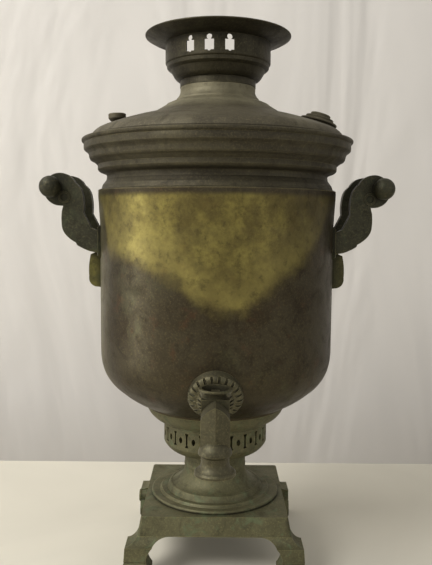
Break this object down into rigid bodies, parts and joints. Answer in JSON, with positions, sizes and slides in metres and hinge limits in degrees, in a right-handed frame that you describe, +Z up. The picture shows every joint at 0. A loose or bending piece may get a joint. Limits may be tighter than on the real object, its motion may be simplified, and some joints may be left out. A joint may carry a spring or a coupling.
{
  "type": "charcoal samovar",
  "caption": "Upright charcoal water boiler in aged brass with a lift-off domed lid and teapot stand, side handles and a front tap.",
  "frame": {"origin": "on the vessel axis, in the plane of the feet", "axes": "+Z up along the vessel axis, -Y towards the tap, +X towards the vent cap side of the lid"},
  "size_m": [0.3114, 0.3027, 0.4698],
  "materials": {
    "body_brass": "aged brass with a brown patina and a worn yellow front",
    "crown_brass": "dull aged brass",
    "base_brass": "dull aged brass with green verdigris",
    "cast_brass": "dull cast brass, dark in the hollows",
    "flue_brass": "sooted brass",
    "grate_iron": "burnt cast iron",
    "fastener_steel": "dull steel",
    "sealing_leather": "greased leather"
  },
  "bodies": {
    "vessel": {"plinth": "base_brass", "foot_front_left": "base_brass", "foot_front_right": "base_brass", "foot_rear_left": "base_brass", "foot_rear_right": "base_brass", "foot_screws": "fastener_steel", "side_stud": "base_brass", "neck": "base_brass", "air_gallery": "base_brass", "vessel_collar": "base_brass", "body_shell": "body_brass", "shoulder_ring": "crown_brass", "crown_ring": "crown_brass", "firebox_pipe": "flue_brass", "fire_grate": "grate_iron", "handle_bracket_left": "cast_brass", "handle_grip_left": "cast_brass", "grip_rod_left": "fastener_steel", "handle_finials_left": "cast_brass", "handle_rivets_left": "cast_brass", "handle_bracket_right": "cast_brass", "handle_grip_right": "cast_brass", "grip_rod_right": "fastener_steel", "handle_finials_right": "cast_brass", "handle_rivets_right": "cast_brass", "tap_body": "cast_brass", "tap_rosette": "cast_brass", "tap_gasket": "sealing_leather", "tap_lock_nut": "cast_brass"},
    "lid": {"lid": "crown_brass", "lid_knob": "cast_brass", "lid_knob_nut": "cast_brass", "vent_seat": "cast_brass", "vent_seat_nut": "cast_brass"},
    "vent_cap": {"vent_cap": "cast_brass"},
    "teapot_stand": {"teapot_stand": "crown_brass"},
    "tap_plug": {"tap_plug": "cast_brass", "tap_plug_washer": "cast_brass", "tap_plug_nut": "cast_brass"}
  },
  "joints": [
    {"name": "lid_lift", "type": "slide", "parent": "vessel", "child": "lid", "axis": [0, 0, 1], "range_m": [0, 0.09]},
    {"name": "stand_lift", "type": "slide", "parent": "lid", "child": "teapot_stand", "axis": [0, 0, 1], "range_m": [0, 0.03]},
    {"name": "vent_cap_lift", "type": "slide", "parent": "lid", "child": "vent_cap", "axis": [0.284, 0, 0.9588], "range_m": [0, 0.02]},
    {"name": "tap_turn", "type": "hinge", "parent": "vessel", "child": "tap_plug", "pos_m": [0, -0.141, 0.1675], "axis": [0, 0, 1], "continuous": true}
  ]
}
